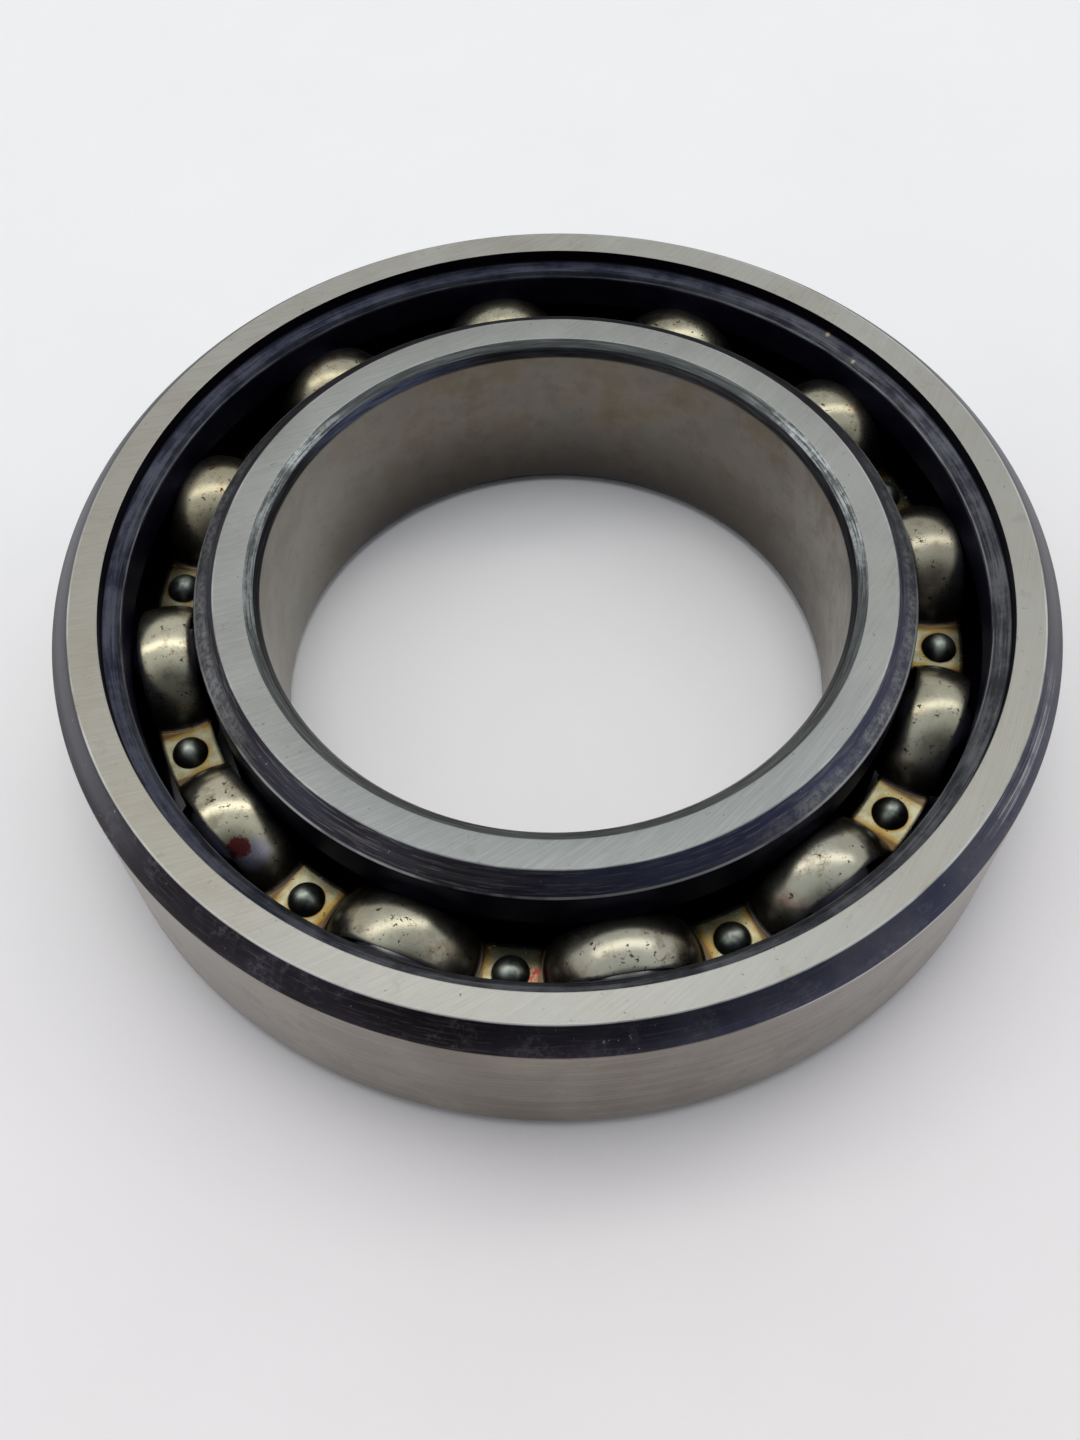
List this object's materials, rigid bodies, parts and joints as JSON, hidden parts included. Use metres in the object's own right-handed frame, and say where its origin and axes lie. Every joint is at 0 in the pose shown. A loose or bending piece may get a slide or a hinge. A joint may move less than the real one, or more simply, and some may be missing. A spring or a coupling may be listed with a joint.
{
  "type": "ball bearing",
  "caption": "Open single-row deep-groove ball bearing with a riveted pressed-steel cage, carrying a shaft in its bore and sitting in a housing by its outside.",
  "frame": {"origin": "the bearing's centre: on its axis, halfway through its width", "axes": "+Z along the axis of rotation, out of one side face; +X through the centre of the first ball; the bearing is the same above and below"},
  "size_m": [0.068, 0.068, 0.015],
  "materials": {
    "outer_ring": "hardened bearing steel, side faces and outside ground bright, corner chamfers and recesses left blue-black",
    "inner_ring": "hardened bearing steel, side faces and bore ground bright, turned cones left blue-black",
    "cage": "pressed sheet steel, satin, with a warm oil film and dark specks",
    "balls": "lapped bearing steel, mirror bright under a thin oil film",
    "rivets": "dark oiled steel with amber varnish at the rim"
  },
  "bodies": {
    "outer_ring": {"outer_ring": "outer_ring"},
    "inner_ring": {"inner_ring": "inner_ring"},
    "cage": {"cage_upper": "cage", "cage_lower": "cage", "rivet_01": "rivets", "rivet_02": "rivets", "rivet_03": "rivets", "rivet_04": "rivets", "rivet_05": "rivets", "rivet_06": "rivets", "rivet_07": "rivets", "rivet_08": "rivets", "rivet_09": "rivets", "rivet_10": "rivets", "rivet_11": "rivets", "rivet_12": "rivets"},
    "ball_01": {"ball_01": "balls"},
    "ball_02": {"ball_02": "balls"},
    "ball_03": {"ball_03": "balls"},
    "ball_04": {"ball_04": "balls"},
    "ball_05": {"ball_05": "balls"},
    "ball_06": {"ball_06": "balls"},
    "ball_07": {"ball_07": "balls"},
    "ball_08": {"ball_08": "balls"},
    "ball_09": {"ball_09": "balls"},
    "ball_10": {"ball_10": "balls"},
    "ball_11": {"ball_11": "balls"},
    "ball_12": {"ball_12": "balls"}
  },
  "joints": [
    {"name": "inner_spin", "type": "hinge", "parent": "outer_ring", "child": "inner_ring", "pos_m": [0, 0, 0], "axis": [0, 0, 1], "continuous": true},
    {"name": "cage_orbit", "type": "hinge", "parent": "outer_ring", "child": "cage", "pos_m": [0, 0, 0], "axis": [0, 0, 1], "continuous": true},
    {"name": "ball_01_spin", "type": "hinge", "parent": "cage", "child": "ball_01", "pos_m": [0.027, 0, 0], "axis": [0, 0, 1], "continuous": true},
    {"name": "ball_02_spin", "type": "hinge", "parent": "cage", "child": "ball_02", "pos_m": [0.02338, 0.0135, 0], "axis": [0, 0, 1], "continuous": true},
    {"name": "ball_03_spin", "type": "hinge", "parent": "cage", "child": "ball_03", "pos_m": [0.0135, 0.02338, 0], "axis": [0, 0, 1], "continuous": true},
    {"name": "ball_04_spin", "type": "hinge", "parent": "cage", "child": "ball_04", "pos_m": [0, 0.027, 0], "axis": [0, 0, 1], "continuous": true},
    {"name": "ball_05_spin", "type": "hinge", "parent": "cage", "child": "ball_05", "pos_m": [-0.0135, 0.02338, 0], "axis": [0, 0, 1], "continuous": true},
    {"name": "ball_06_spin", "type": "hinge", "parent": "cage", "child": "ball_06", "pos_m": [-0.02338, 0.0135, 0], "axis": [0, 0, 1], "continuous": true},
    {"name": "ball_07_spin", "type": "hinge", "parent": "cage", "child": "ball_07", "pos_m": [-0.027, 0, 0], "axis": [0, 0, 1], "continuous": true},
    {"name": "ball_08_spin", "type": "hinge", "parent": "cage", "child": "ball_08", "pos_m": [-0.02338, -0.0135, 0], "axis": [0, 0, 1], "continuous": true},
    {"name": "ball_09_spin", "type": "hinge", "parent": "cage", "child": "ball_09", "pos_m": [-0.0135, -0.02338, 0], "axis": [0, 0, 1], "continuous": true},
    {"name": "ball_10_spin", "type": "hinge", "parent": "cage", "child": "ball_10", "pos_m": [0, -0.027, 0], "axis": [0, 0, 1], "continuous": true},
    {"name": "ball_11_spin", "type": "hinge", "parent": "cage", "child": "ball_11", "pos_m": [0.0135, -0.02338, 0], "axis": [0, 0, 1], "continuous": true},
    {"name": "ball_12_spin", "type": "hinge", "parent": "cage", "child": "ball_12", "pos_m": [0.02338, -0.0135, 0], "axis": [0, 0, 1], "continuous": true}
  ],
  "couplings": [
    {"joint": "cage_orbit", "follows": "inner_spin", "ratio": 0.4265},
    {"joint": "ball_01_spin", "follows": "inner_spin", "ratio": -3.3279},
    {"joint": "ball_02_spin", "follows": "inner_spin", "ratio": -3.3279},
    {"joint": "ball_03_spin", "follows": "inner_spin", "ratio": -3.3279},
    {"joint": "ball_04_spin", "follows": "inner_spin", "ratio": -3.3279},
    {"joint": "ball_05_spin", "follows": "inner_spin", "ratio": -3.3279},
    {"joint": "ball_06_spin", "follows": "inner_spin", "ratio": -3.3279},
    {"joint": "ball_07_spin", "follows": "inner_spin", "ratio": -3.3279},
    {"joint": "ball_08_spin", "follows": "inner_spin", "ratio": -3.3279},
    {"joint": "ball_09_spin", "follows": "inner_spin", "ratio": -3.3279},
    {"joint": "ball_10_spin", "follows": "inner_spin", "ratio": -3.3279},
    {"joint": "ball_11_spin", "follows": "inner_spin", "ratio": -3.3279},
    {"joint": "ball_12_spin", "follows": "inner_spin", "ratio": -3.3279}
  ]
}
